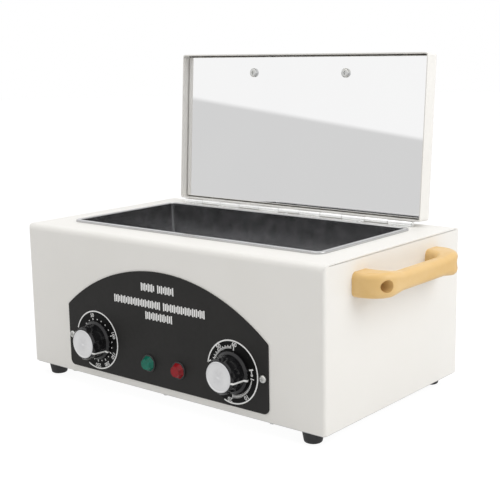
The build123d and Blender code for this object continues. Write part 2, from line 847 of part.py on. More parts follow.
lid_rear_wall = Plane(
    origin=lid_plane.from_local_coords((0, hinge_rise, 0)),
    x_dir=lid_plane.x_dir,
    z_dir=-lid_plane.y_dir,
)
lid_rivets_at = [(x, lid_leaf_rivet) for x in hinge_screw_xs]
with BuildPart() as lid_shell:
    add(lid_tray(0, lid_edge_r))
    add(lid_tray(sheet, lid_edge_r - sheet), mode=Mode.SUBTRACT)
    add(round_holes(lid_plane.offset(lid_outer), lid_screws_at, m4_r + hole_fit, sheet), mode=Mode.SUBTRACT)
    add(round_holes(lid_rear_wall, lid_rivets_at, m3_r + thread_fit, sheet), mode=Mode.SUBTRACT)
save(lid_shell.part, "lid_shell")

plate_inset = sheet + plate_gap
plate_pan = lid_block(plate_face, plate_inset, plate_t + plate_flange, lid_edge_r)
plate_back = plate_face + plate_t
plate_hollow = lid_block(plate_back, plate_inset + plate_t, plate_flange, lid_edge_r - plate_t)
with BuildPart() as lid_inner_plate:
    add(plate_pan)
    fillet(lid_inner_plate.faces().sort_by(lid_outward)[0].edges(), plate_t * 0.9)
    add(plate_hollow, mode=Mode.SUBTRACT)
    add(round_holes(lid_plane.offset(plate_back), lid_screws_at, m4_r + hole_fit, plate_t), mode=Mode.SUBTRACT)
save(lid_inner_plate.part, "lid_inner_plate")

fill_t = lid_outer - sheet - plate_back
fill_block = lid_block(plate_back, plate_inset + plate_t + solid_gap, fill_t, lid_edge_r)
with BuildPart() as lid_insulation:
    add(fill_block)
    add(
        round_holes(lid_plane.offset(lid_outer - sheet), lid_screws_at, m4_r + solid_gap, fill_t),
        mode=Mode.SUBTRACT,
    )
save(lid_insulation.part, "lid_insulation")

# Screws from the inner plate through the lid into its handle, and their nuts
lid_inward = Plane(
    origin=lid_plane.from_local_coords((0, lid_handle_u, plate_face)),
    x_dir=-lid_plane.x_dir,
    z_dir=-lid_plane.z_dir,
)
lid_screw_l = lid_outer - plate_face + handle_web + nut_h + screw_proud
save(pan_screws(lid_inward, handle_screws_at, lid_head_r, m4_head_h, m4_r, lid_screw_l), "lid_screws")
lid_nuts_plane = lid_plane.offset(lid_outer + handle_web)
save(nuts(lid_nuts_plane, lid_screws_at, nut_flats, m4_r, nut_h), "lid_handle_nuts")


# Handles: three of one moulding, a rounded bar that sweeps into two wider legs
def moulded_handle(plane):
    """Handle on its mounting plane: length along x, height along y and outwards along z."""
    half_l = handle_l / 2
    gap_half = half_l - handle_leg
    gap_out = handle_out - handle_bar
    neck = gap_half + handle_gap_r / 2
    waist = neck - handle_taper
    leg_y = handle_leg_h / 2
    bar_y = handle_bar_h / 2
    side_plane = Plane(origin=plane.origin, x_dir=plane.x_dir, z_dir=-plane.y_dir)
    with BuildPart() as grip:
        with BuildSketch(side_plane) as side:
            with BuildLine():
                Polyline(
                    (-half_l, 0),
                    (-half_l, handle_out),
                    (half_l, handle_out),
                    (half_l, 0),
                    (gap_half, 0),
                    (gap_half, gap_out),
                    (-gap_half, gap_out),
                    (-gap_half, 0),
                    close=True,
                )
            make_face()
            fillet([v for v in side.vertices() if 1 < v.Y < handle_out - 1], handle_gap_r)
            fillet(side.vertices().group_by(Axis.Y)[-1], handle_bend_r)
        extrude(amount=handle_leg_h, both=True)
        with BuildSketch(plane) as top:
            with BuildLine():
                Polyline(
                    (-half_l, -leg_y),
                    (-neck, -leg_y),
                    (-waist, -bar_y),
                    (waist, -bar_y),
                    (neck, -leg_y),
                    (half_l, -leg_y),
                    (half_l, leg_y),
                    (neck, leg_y),
                    (waist, bar_y),
                    (-waist, bar_y),
                    (-neck, leg_y),
                    (-half_l, leg_y),
                    close=True,
                )
            make_face()
            fillet([v for v in top.vertices() if abs(v.X) < half_l - 1], handle_blend_r)
        extrude(amount=handle_out, mode=Mode.INTERSECT)
        long_edges = []
        for edge in grip.edges():
            middle = plane.to_local_coords(edge @ 0.5)
            across = abs(plane.to_local_coords(edge @ 0).Y - plane.to_local_coords(edge @ 1).Y)
            if middle.Z > 1 and abs(middle.Y) > bar_y - 1 and across < bar_y:
                long_edges.append(edge)
        fillet(long_edges, handle_round)
        add(
            round_holes(plane.offset(handle_out), handle_screws_at, handle_bore_r, handle_out - handle_web),
            mode=Mode.SUBTRACT,
        )
        add(
            round_holes(plane.offset(handle_web), handle_screws_at, m4_r + hole_fit, handle_web),
            mode=Mode.SUBTRACT,
        )
    return grip.part


handle_level = body_z + side_handle_z
right_face = Plane(origin=(body_w / 2, mid_y, handle_level), x_dir=(0, 1, 0), z_dir=(1, 0, 0))
left_face = Plane(origin=(-body_w / 2, mid_y, handle_level), x_dir=(0, -1, 0), z_dir=(-1, 0, 0))
lid_face = Plane(
    origin=lid_plane.from_local_coords((0, lid_handle_u, lid_outer)),
    x_dir=lid_plane.x_dir,
    z_dir=lid_plane.z_dir,
)
save(moulded_handle(right_face), "handle_right")
save(moulded_handle(left_face), "handle_left")
save(moulded_handle(lid_face), "lid_handle")

side_screw_l = handle_web + sheet + nut_h + screw_proud
for side_name, face in (("right", right_face), ("left", left_face)):
    seat_plane = face.offset(handle_web)
    screws = pan_screws(seat_plane, handle_screws_at, m4_head_r, m4_head_h, m4_r, side_screw_l)
    save(screws, f"handle_{side_name}_screws")
    inside_plane = face.offset(-sheet - nut_h)
    save(nuts(inside_plane, handle_screws_at, nut_flats, m4_r, nut_h), f"handle_{side_name}_nuts")

# Piano hinge: two leaves with alternate knuckles on one long pin
knuckle_pitch = hinge_l / knuckles
knuckle_xs = [(i - (knuckles - 1) / 2) * knuckle_pitch for i in range(knuckles)]


def hinge_leaf(plane, width, own, other, fixing):
    """Flat leaf tangent to its knuckles: y runs from the axis along the leaf, z towards the axis."""
    notch = 2 * (knuckle_r + solid_gap)
    with BuildPart() as strip:
        with BuildSketch(plane.offset(-hinge_rise)):
            with Locations((0, width / 2)):
                Rectangle(hinge_l, width)
            with Locations(*[(x, 0) for x in other]):
                Rectangle(knuckle_pitch + knuckle_gap, notch, mode=Mode.SUBTRACT)
            with Locations(*[(x, fixing) for x in hinge_screw_xs]):
                Circle(m3_r + thread_fit, mode=Mode.SUBTRACT)
        extrude(amount=leaf_t)
        for x in own:
            with BuildSketch(Plane(origin=plane.from_local_coords((x, 0, 0)), z_dir=plane.x_dir)):
                Circle(knuckle_r)
            extrude(amount=(knuckle_pitch - knuckle_gap) / 2, both=True)
        with BuildSketch(Plane(origin=plane.origin, z_dir=plane.x_dir)):
            Circle(pin_r + shaft_fit)
        extrude(amount=hinge_l, both=True, mode=Mode.SUBTRACT)
    return strip.part


lid_leaf_plane = Plane(origin=lid_plane.origin, x_dir=lid_plane.x_dir, z_dir=-lid_plane.y_dir)
save(
    hinge_leaf(hinge_plane, body_leaf_w, knuckle_xs[::2], knuckle_xs[1::2], body_leaf_screw),
    "hinge_body_leaf",
)
save(
    hinge_leaf(lid_leaf_plane, lid_leaf_w, knuckle_xs[1::2], knuckle_xs[::2], lid_leaf_rivet),
    "hinge_lid_leaf",
)

with BuildPart() as hinge_pin:
    with BuildSketch(Plane(origin=hinge_plane.origin, z_dir=(1, 0, 0))):
        Circle(pin_r)
    extrude(amount=hinge_l / 2, both=True)
    for side in (-1, 1):
        with BuildSketch(Plane(origin=(side * hinge_l / 2, hinge_y, hinge_z), z_dir=(side, 0, 0))):
            Circle(pin_head_r)
        extrude(amount=pin_head_t)
save(hinge_pin.part, "hinge_pin")

body_leaf_top = top_inward.offset(leaf_t)
body_leaf_screw_l = leaf_t + 3 * sheet
save(
    pan_screws(
        body_leaf_top, body_leaf_screws_at, m3_head_r, m3_head_h, m3_r - thread_fit, body_leaf_screw_l
    ),
    "hinge_body_screws",
)
lid_leaf_top = lid_rear_wall.offset(leaf_t)
rivet_head_r = m3_head_r - solid_gap
save(
    pan_screws(lid_leaf_top, lid_rivets_at, rivet_head_r, m3_head_h, m3_r, leaf_t + sheet),
    "hinge_lid_rivets",
)

# Two rubber stop buttons on which the open lid leans
stop_contact = stop_back + stop_r - stop_round
stop_h = hinge_rise + hinge_rise / cos(tilt) - stop_contact * tan(tilt) - solid_gap
with BuildPart() as lid_stops:
    with BuildSketch(top_inward):
        with Locations(*stops_at):
            Circle(stop_r)
    extrude(amount=stop_h)
    fillet(lid_stops.edges().group_by(Axis.Z)[-1], stop_round)
    with BuildSketch(top_inward):
        with Locations(*stops_at):
            Circle(m3_r - thread_fit)
    extrude(amount=-3 * sheet)
save(lid_stops.part, "lid_stops")

# Cord entry in the rear panel, its nut and the terminal block
with BuildPart() as cord_gland:
    with BuildSketch(rear_face):
        with Locations(*gland_at):
            Circle(gland_flange_r)
    extrude(amount=gland_flange_t)
    with BuildSketch(rear_face.offset(gland_flange_t)):
        with Locations(*gland_at):
            Circle(gland_r + sheet)
    extrude(amount=gland_out - gland_flange_t)
    fillet(cord_gland.edges().group_by(Axis.Y)[-1], sheet)
    with BuildSketch(rear_face):
        with Locations(*gland_at):
            Circle(gland_r)
    extrude(amount=-gland_in)
    bore = round_holes(rear_face.offset(gland_out), gland_at, gland_bore_r, gland_out + gland_in)
    add(bore, mode=Mode.SUBTRACT)
save(cord_gland.part, "cord_gland")
gland_nut_plane = rear_plane.offset(-nut_h)
save(nuts(gland_nut_plane, gland_at, gland_nut_flats, gland_r, nut_h), "gland_nut")

terminal_top = body_plane.offset(body_z + terminal_h)
pole_pitch = terminal_l / terminal_poles
with BuildPart() as terminal_block:
    with BuildSketch(body_plane.offset(body_z)):
        with Locations((terminal_x, 0)):
            RectangleRounded(terminal_l, terminal_w, side_bend_r)
    extrude(amount=terminal_h)
    with BuildSketch(terminal_top):
        with Locations((terminal_x, 0)):
            with GridLocations(pole_pitch, terminal_w / 2, terminal_poles, 2):
                Circle(m3_head_r)
    extrude(amount=-terminal_h / 3, mode=Mode.SUBTRACT)
    add(round_holes(terminal_top, [(terminal_x, 0)], m3_r + hole_fit, terminal_h), mode=Mode.SUBTRACT)
save(terminal_block.part, "terminal_block")
terminal_screw_l = terminal_h + sheet + screw_proud
save(
    pan_screws(terminal_top, [(terminal_x, 0)], m3_head_r, m3_head_h, m3_r, terminal_screw_l),
    "terminal_screw",
)
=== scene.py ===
"""Looks of the dry heat sterilizer: finishes, dial print, pointer lines, studio and camera.

Units are metres in the part's own frame: X along the front, Y to the back and Z up.
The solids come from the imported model. Print on the front panel is laid out in millimetres
round each dial, with angles counted from +X towards +Z as seen from the front.
"""

import json
from math import cos, pi, radians, sin

import bmesh
import bpy
from mathutils import Euler, Matrix, Vector


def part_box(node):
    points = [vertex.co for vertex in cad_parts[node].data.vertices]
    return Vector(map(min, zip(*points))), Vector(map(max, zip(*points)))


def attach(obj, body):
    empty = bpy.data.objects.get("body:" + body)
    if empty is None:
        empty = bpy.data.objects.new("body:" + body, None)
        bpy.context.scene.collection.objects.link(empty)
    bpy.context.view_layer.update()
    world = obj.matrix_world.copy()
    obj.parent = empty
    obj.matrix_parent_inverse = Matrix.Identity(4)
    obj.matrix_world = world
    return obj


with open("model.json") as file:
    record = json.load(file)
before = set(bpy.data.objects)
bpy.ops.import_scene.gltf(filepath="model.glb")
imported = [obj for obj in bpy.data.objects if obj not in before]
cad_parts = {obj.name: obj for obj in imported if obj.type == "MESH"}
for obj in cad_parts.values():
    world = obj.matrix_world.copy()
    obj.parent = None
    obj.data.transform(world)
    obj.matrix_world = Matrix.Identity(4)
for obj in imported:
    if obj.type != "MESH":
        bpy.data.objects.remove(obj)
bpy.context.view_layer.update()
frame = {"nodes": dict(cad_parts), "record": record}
nodes = frame["nodes"]
scene = bpy.context.scene
MM = 0.001


# Helpers for shader nodes and meshes

def add_node(tree, kind, **values):
    """A new node with its named inputs set."""
    node = tree.nodes.new(kind)
    for socket, value in values.items():
        node.inputs[socket].default_value = value
    return node


def map_range(tree, source, start, end, low, high):
    """Map the values from start to end to the range low to high."""
    span = tree.nodes.new("ShaderNodeMapRange")
    for socket, value in zip(("From Min", "From Max", "To Min", "To Max"), (start, end, low, high)):
        span.inputs[socket].default_value = value
    tree.links.new(source, span.inputs["Value"])
    return span.outputs["Result"]


def blend(tree, factor, first, second):
    """A shader that goes from the first to the second as the factor goes from 0 to 1."""
    node = tree.nodes.new("ShaderNodeMixShader")
    for socket, source in zip(node.inputs, (factor, first, second)):
        tree.links.new(source, socket)
    return node.outputs["Shader"]


def make_object(name, mesh, material):
    """An object in the scene from a finished bmesh, which is freed."""
    data = bpy.data.meshes.new(name)
    mesh.to_mesh(data)
    mesh.free()
    data.materials.append(material)
    made = bpy.data.objects.new(name, data)
    scene.collection.objects.link(made)
    return made


# Materials

class Finish:
    """A Principled material; its plain values are set on the shader and its detail comes from noise."""

    def __init__(self, name, colour, roughness, metallic=0.0, **values):
        self.material = bpy.data.materials.new(name)
        self.material.use_nodes = True
        self.tree = self.material.node_tree
        self.shader = self.tree.nodes["Principled BSDF"]
        self.colour = colour
        self.set("Base Color", (*colour, 1.0))
        self.set("Roughness", roughness)
        self.set("Metallic", metallic)
        for socket, value in values.items():
            self.set(socket.replace("_", " "), value)
        self.coordinates = self.tree.nodes.new("ShaderNodeTexCoord").outputs["Object"]

    def set(self, socket, value):
        self.shader.inputs[socket].default_value = value

    def link(self, source, target):
        self.tree.links.new(source, target)

    def noise(self, size, detail=3.0, stretch=(1, 1, 1)):
        """Noise with features about size metres across, drawn out along an axis by stretch."""
        mapping = self.tree.nodes.new("ShaderNodeMapping")
        mapping.inputs["Scale"].default_value = [1 / (size * s) for s in stretch]
        texture = self.tree.nodes.new("ShaderNodeTexNoise")
        texture.inputs["Scale"].default_value = 1.0
        texture.inputs["Detail"].default_value = detail
        self.link(self.coordinates, mapping.inputs["Vector"])
        self.link(mapping.outputs["Vector"], texture.inputs["Vector"])
        return texture.outputs["Fac"]

    def rings(self, centre, size):
        """Fine turned rings about a point, for a face that looks along Y."""
        mapping = self.tree.nodes.new("ShaderNodeMapping")
        mapping.inputs["Location"].default_value = [-c for c in centre]
        mapping.inputs["Scale"].default_value = (1, 0, 1)
        texture = self.tree.nodes.new("ShaderNodeTexWave")
        texture.wave_type = "RINGS"
        texture.rings_direction = "SPHERICAL"
        texture.inputs["Scale"].default_value = 1 / (size * 3)
        texture.inputs["Distortion"].default_value = 1.5
        self.link(self.coordinates, mapping.inputs["Vector"])
        self.link(mapping.outputs["Vector"], texture.inputs["Vector"])
        return texture.outputs["Fac"]

    def spread(self, source, low, high, start=0.3, end=0.7):
        """Map a texture's middle band to the range low to high."""
        return map_range(self.tree, source, start, end, low, high)

    def tint(self, source, other, start=0.3, end=0.7):
        """Colour drifts between the base colour and another along a texture."""
        mix = self.tree.nodes.new("ShaderNodeMix")
        mix.data_type = "RGBA"
        mix.inputs["A"].default_value = (*self.colour, 1.0)
        mix.inputs["B"].default_value = (*other, 1.0)
        self.link(self.spread(source, 0.0, 1.0, start, end), mix.inputs["Factor"])
        self.link(mix.outputs["Result"], self.shader.inputs["Base Color"])
        return self

    def shine(self, source, low, high):
        """Roughness drifts between two values along a texture."""
        self.link(self.spread(source, low, high), self.shader.inputs["Roughness"])
        return self

    def relief(self, source, depth, strength=1.0):
        """A bump of that depth in metres."""
        bump = self.tree.nodes.new("ShaderNodeBump")
        bump.inputs["Strength"].default_value = strength
        bump.inputs["Distance"].default_value = depth
        self.link(source, bump.inputs["Height"])
        self.link(bump.outputs["Normal"], self.shader.inputs["Normal"])
        return self


def cream_paint():
    """Satin powder coat with a faint orange peel."""
    paint = Finish("cream_paint", (0.855, 0.84, 0.807), 0.38)
    paint.tint(paint.noise(0.06), (0.84, 0.824, 0.788))
    paint.shine(paint.noise(0.01), 0.34, 0.44)
    return paint.relief(paint.noise(0.0011, 2.0), 0.00002, 0.5).material


def zinc(name, roughness):
    """Zinc plate: cloudy and faintly yellow or blue."""
    plate = Finish(name, (0.62, 0.63, 0.64), roughness, metallic=1.0)
    plate.tint(plate.noise(0.006), (0.70, 0.69, 0.65))
    return plate.shine(plate.noise(0.002), roughness - 0.06, roughness + 0.08).material


def tank_steel():
    """Drawn stainless sheet, dark where it sees only itself, with soft water and heat marks."""
    steel = Finish("tank_steel", (0.47, 0.47, 0.475), 0.2, metallic=1.0)
    steel.tint(steel.noise(0.03, 4.0), (0.53, 0.53, 0.54), 0.4, 0.8)
    steel.shine(steel.noise(0.012, 4.0), 0.14, 0.22)
    return steel.relief(steel.noise(0.006, 3.0, (1, 1, 2)), 0.00002, 0.3).material


def mirror_plate():
    """Polished plate with a faint haze."""
    plate = Finish("mirror_plate", (0.93, 0.93, 0.93), 0.015, metallic=1.0)
    plate.tint(plate.noise(0.08), (0.92, 0.92, 0.922))
    return plate.shine(plate.noise(0.03), 0.01, 0.025).material


def copper():
    tube = Finish("copper", (0.80, 0.42, 0.26), 0.3, metallic=1.0)
    return tube.tint(tube.noise(0.004), (0.55, 0.26, 0.16)).shine(tube.noise(0.001), 0.22, 0.42).material


def glass_wool():
    """Matted yellowish fibres."""
    wool = Finish("glass_wool", (0.80, 0.70, 0.42), 0.95, Sheen_Weight=0.3)
    wool.tint(wool.noise(0.008, 6.0), (0.62, 0.52, 0.28))
    return wool.relief(wool.noise(0.0015, 6.0, (4, 1, 1)), 0.0006).material


def moulding(name, colour, other, roughness):
    """Moulded plastic with a fine spark-eroded grain."""
    plastic = Finish(name, colour, roughness)
    plastic.tint(plastic.noise(0.01), other)
    plastic.shine(plastic.noise(0.003), roughness - 0.05, roughness + 0.08)
    return plastic.relief(plastic.noise(0.0005, 2.0), 0.00002, 0.5).material


def black_panel():
    """Satin black sheet under its print, with a slight roll grain along X."""
    panel = Finish("black_panel", (0.016, 0.0155, 0.0148), 0.5, Specular_IOR_Level=0.25)
    panel.tint(panel.noise(0.03), (0.020, 0.019, 0.018))
    panel.shine(panel.noise(0.004), 0.46, 0.56)
    return panel.relief(panel.noise(0.0006, 2.0, (6, 1, 1)), 0.00001, 0.5).material


def black_gloss():
    """Glossy moulded knob with faint handling marks."""
    gloss = Finish("black_gloss", (0.008, 0.008, 0.009), 0.12)
    gloss.tint(gloss.noise(0.005), (0.012, 0.012, 0.013))
    return gloss.shine(gloss.noise(0.0015, 4.0), 0.08, 0.2).material


def spun_cap(name, cap):
    """Aluminium disc turned in fine rings, with the fan of light that turning gives."""
    low, high = (Vector(corner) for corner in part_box(cap))
    centre = (low + high) / 2
    disc = Finish(name, (0.88, 0.88, 0.885), 0.28, metallic=1.0, Anisotropic=0.85)
    disc.tint(disc.rings(centre, 0.0009), (0.80, 0.80, 0.81), 0.0, 1.0)
    disc.relief(disc.rings(centre, 0.0004), 0.000012, 0.6)
    tangent = disc.tree.nodes.new("ShaderNodeTangent")
    tangent.direction_type = "RADIAL"
    tangent.axis = "Y"
    disc.link(tangent.outputs["Tangent"], disc.shader.inputs["Tangent"])
    return disc.material


def lens(name, colour, deep):
    """Clear tinted plastic over a dark lamp."""
    tinted = Finish(name, colour, 0.12, Transmission_Weight=0.2, IOR=1.49, Specular_IOR_Level=0.3)
    tinted.tint(tinted.noise(0.004), deep)
    return tinted.shine(tinted.noise(0.002), 0.08, 0.2).material


def beech():
    """Heat-proof moulding in beech colour: satin, with darker clouds under the surface."""
    handle = Finish("beech", (0.77, 0.53, 0.235), 0.42, Coat_Weight=0.15, Coat_Roughness=0.3)
    handle.tint(handle.noise(0.022, 4.0, (1, 2, 1)), (0.73, 0.47, 0.17))
    handle.shine(handle.noise(0.006), 0.36, 0.5)
    return handle.relief(handle.noise(0.0007, 2.0), 0.00002, 0.6).material


def bright_steel():
    """Pressed hinge strip, bright and finely scratched along its length."""
    strip = Finish("bright_steel", (0.96, 0.96, 0.95), 0.3, metallic=1.0)
    strip.tint(strip.noise(0.004, 4.0, (8, 1, 1)), (0.86, 0.86, 0.85))
    return strip.shine(strip.noise(0.001, 3.0, (20, 1, 1)), 0.22, 0.4).material


def ceramic():
    glaze = Finish("ceramic", (0.82, 0.80, 0.74), 0.3)
    return glaze.tint(glaze.noise(0.004), (0.76, 0.73, 0.66)).material


def rubber():
    """Black rubber with a dusty bloom."""
    black = Finish("rubber", (0.016, 0.016, 0.017), 0.6)
    black.tint(black.noise(0.006, 4.0), (0.03, 0.03, 0.032))
    return black.relief(black.noise(0.0009), 0.00004, 0.6).material


def ink(name, colour, other, **values):
    """Screen print, slightly uneven in cover."""
    print_ink = Finish(name, colour, 0.5, **values)
    print_ink.tint(print_ink.noise(0.002), other)
    return print_ink.shine(print_ink.noise(0.001), 0.42, 0.55).material


finishes = {
    "cream_paint": cream_paint(),
    "zinc_sheet": zinc("zinc_sheet", 0.42),
    "zinc_fastener": zinc("zinc_fastener", 0.28),
    "black_rubber": rubber(),
    "stainless_tank": tank_steel(),
    "copper_tube": copper(),
    "glass_wool": glass_wool(),
    "grey_moulding": moulding("grey_moulding", (0.35, 0.35, 0.35), (0.30, 0.30, 0.31), 0.5),
    "black_knob": black_gloss(),
    "black_panel": black_panel(),
    "black_moulding": moulding("black_moulding", (0.018, 0.018, 0.019), (0.026, 0.026, 0.027), 0.38),
    "green_lens": lens("green_lens", (0.003, 0.21, 0.14), (0.002, 0.14, 0.09)),
    "red_lens": lens("red_lens", (0.42, 0.006, 0.014), (0.28, 0.003, 0.008)),
    "mirror_steel": mirror_plate(),
    "beech_moulding": beech(),
    "bright_hinge": bright_steel(),
    "white_ceramic": ceramic(),
}
white_ink = ink("white_ink", (0.93, 0.93, 0.92), (0.86, 0.86, 0.85))
dial_black = ink("dial_black", (0.004, 0.004, 0.004), (0.006, 0.006, 0.006), Specular_IOR_Level=0.12)


def dress(node, material):
    """Give a carried-over solid its material."""
    mesh = nodes[node].data
    mesh.materials.clear()
    mesh.materials.append(material)


knob_caps = ("temperature_knob_cap", "timer_knob_cap")
for part in frame["record"]["subparts"]:
    if part["node"] in knob_caps:
        dress(part["node"], spun_cap(part["node"] + "_metal", part["node"]))
    else:
        dress(part["node"], finishes[part["material_slot"]])


# Print: flat shapes in millimetres round a point of the panel's face

ink_t = 0.12
ground_t = 0.05
digit_share = 0.7
digit_swell = 0.06
panel_face_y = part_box("front_panel")[0][1]


def polar(radius, angle):
    """Point at that radius and angle in degrees."""
    return Vector((radius * cos(radians(angle)), radius * sin(radians(angle))))


class Print:
    """Thin ink shapes on the panel's face, gathered into one mesh."""

    def __init__(self, origin, thickness=ink_t):
        self.mesh = bmesh.new()
        self.origin = origin
        self.thickness = thickness

    def add(self, points):
        """One filled outline, its points counter-clockwise as seen from the front."""
        x, z = self.origin
        rings = []
        for y in (panel_face_y - self.thickness * MM, panel_face_y):
            rings.append([self.mesh.verts.new((x + u * MM, y, z + v * MM)) for u, v in points])
        front, back = rings
        self.mesh.faces.new(front)
        self.mesh.faces.new(back[::-1])
        for i in range(len(front)):
            j = (i + 1) % len(front)
            self.mesh.faces.new((front[j], front[i], back[i], back[j]))

    def strip(self, path, width):
        """A stroke of that width along a path, as one quad for each step."""
        left, right = [], []
        for i, point in enumerate(path):
            along = (path[min(i + 1, len(path) - 1)] - path[max(i - 1, 0)]).normalized()
            side = Vector((-along.y, along.x)) * width / 2
            left.append(point + side)
            right.append(point - side)
        for i in range(len(path) - 1):
            self.add((right[i], right[i + 1], left[i + 1], left[i]))

    def arc(self, radius, start, end, width, step=3.0):
        """An arc drawn from start to end in degrees."""
        steps = max(2, round(abs(end - start) / step))
        angles = [start + (end - start) * i / steps for i in range(steps + 1)]
        self.strip([polar(radius, a) for a in angles], width)

    def tick(self, angle, inner, outer, width):
        """A radial stroke at one angle."""
        self.strip([polar(inner, angle), polar(outer, angle)], width)

    def dot(self, centre, radius, sides=16):
        """A filled spot."""
        self.add([centre + polar(radius, 360 * i / sides) for i in range(sides)])

    def number(self, text, radius, angle, height):
        """A numeral whose top points away from the dial's middle."""
        font = bpy.data.curves.new("numeral", "FONT")
        font.body = text
        font.size = height * MM / digit_share
        font.align_x = "CENTER"
        font.align_y = "CENTER"
        font.extrude = ink_t * MM / 2
        font.offset = digit_swell * MM
        holder = bpy.data.objects.new("numeral", font)
        scene.collection.objects.link(holder)
        bpy.context.view_layer.update()
        depsgraph = bpy.context.evaluated_depsgraph_get()
        shape = bpy.data.meshes.new_from_object(holder.evaluated_get(depsgraph))
        u, v = polar(radius, angle)
        x, z = self.origin
        place = Matrix.Translation((x + u * MM, panel_face_y - ink_t * MM / 2, z + v * MM))
        spin = Matrix.Rotation(-radians(angle - 90), 4, "Y")
        shape.transform(place @ spin @ Matrix.Rotation(pi / 2, 4, "X"))
        self.mesh.from_mesh(shape)
        bpy.data.objects.remove(holder)
        bpy.data.curves.remove(font)
        bpy.data.meshes.remove(shape)

    def finish(self, name, material):
        """Turn the gathered shapes into a piece that rides on the fixed body."""
        piece = make_object(name, self.mesh, material)
        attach(piece, "base")


def middle(node):
    """Centre of a node's box, seen from the front."""
    low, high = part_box(node)
    return (low[0] + high[0]) / 2, (low[2] + high[2]) / 2


ring_r = 27.0
ring_w = 1.2
dot_r = 0.62
dot_sides = 10
dot_row_r = 19.6
mark_r = 20.9
ground_in_r = 10
ground_steps = 72
temperature_dial = middle("temperature_knob_cap")
timer_dial = middle("timer_knob_cap")


def temperature_scale():
    """Ring, dots and ticks of the temperature dial; its marks close up towards the hot end."""
    tick_in, tick_out, tick_w = 18.7, 20.8, 0.9
    numeral_h = 3.3
    off_mark = polar(17.0, 139)
    dial = Print(temperature_dial)
    dial.arc(ring_r, 163, -118, ring_w)
    for angle in (136, 120, 87, 71, 54, 37, 3, -13, -44, -75, -105):
        dial.dot(polar(dot_row_r, angle), dot_r, dot_sides)
    dial.dot(off_mark, dot_r, dot_sides)
    numerals = (
        (104, "50", 23.2),
        (20, "100", 23.0),
        (-29, "150", 23.6),
        (-60, "200", 23.9),
        (-90, "250", 24.0),
    )
    for angle, text, radius in numerals:
        dial.tick(angle, tick_in, tick_out, tick_w)
        dial.number(text, radius, angle, numeral_h)
    dial.finish("temperature_scale", white_ink)


def timer_scale():
    """Ring, minutes and the stay-on mark of the timer dial."""
    numeral_h = 3.6
    line_out = 23.0
    short_by = 1.2
    dial = Print(timer_dial)
    dial.arc(ring_r, 172, -110, ring_w)
    dial.strip([polar(ring_r, 171), polar(24.2, 165)], 1.1)
    for angle, text, radius in ((-52, "10", 24.0), (-97, "20", 24.2), (127, "50", 24.3), (84, "60", 24.0)):
        dial.number(text, radius, angle, numeral_h)

    # Minutes before the end of the scale: long and short ticks in turn on one arc
    dial.tick(85, 18.9, 22.4, 1.0)
    for step in range(17):
        dial.tick(157 - 4 * step, 20.1, line_out - short_by * (step % 2), 0.75)
    dial.arc(21.6, 157, 93, 0.5)

    # Minutes from the start: a line whose ticks lengthen as the scale goes on
    dial.arc(mark_r, -9, -92, 0.55)
    for step in range(22):
        dial.tick(-11 - 3.8 * step, 20.2 - 0.05 * step, 21.4 + 0.05 * step, 0.5)
    dial.tick(-6, 19.6, 23.2, 0.8)

    # Stay-on mark: a dot with a stem and a bar
    dial.dot(polar(mark_r, 3), 1.25)
    dial.arc(mark_r, 3, 14, 1.0)
    dial.tick(15, 18.8, line_out, 1.3)
    dial.finish("timer_scale", white_ink)


def dial_ground(name, origin):
    """Deep black disc inside a ring."""
    ground = Print(origin, ground_t)
    inner = ground_in_r
    outer = ring_r - ring_w / 2
    for i in range(ground_steps):
        first = 360 * i / ground_steps
        last = 360 * (i + 1) / ground_steps
        ground.add((polar(inner, first), polar(outer, first), polar(outer, last), polar(inner, last)))
    ground.finish(name, dial_black)


def caption_marks():
    """Rows of plain strokes where the panel carries words: no letters, only their size and weight."""
    marks = Print((0.0, 0.0))
    stroke_pitch = 2.15
    stroke_w = 1.4
    half_heights = (3.6, 3.024, 3.6, 2.448)
    lines = (
        (106.4, -22.4, ((0, 17.0), (20.0, 40.0))),
        (91.6, -57.0, ((0, 58.0), (61.0, 110.0))),
        (81.2, -18.0, ((0, 33.0),)),
    )
    for z, left, words in lines:
        for start, end in words:
            count = round((end - start) / stroke_pitch)
            pitch = (end - start) / count
            for i in range(count):
                x = left + start + pitch * (i + 0.5)
                half = half_heights[i % len(half_heights)]
                marks.strip([Vector((x, z - half)), Vector((x, z + half))], stroke_w)
    marks.finish("caption_marks", white_ink)


temperature_scale()
timer_scale()
dial_ground("temperature_ground", temperature_dial)
dial_ground("timer_ground", timer_dial)
caption_marks()


# Pointer lines: a raised white line that follows a knob's side from its cap to its skirt's edge.
# Each profile point is a radius and a height above the panel's face, in millimetres.

line_w = 1.7
line_t = 0.16
knob_profile = ((13.3, 17.75), (13.8, 17.75), (15.2, 16.25), (15.9, 3.8), (18.0, 2.4), (18.0, 0.9))


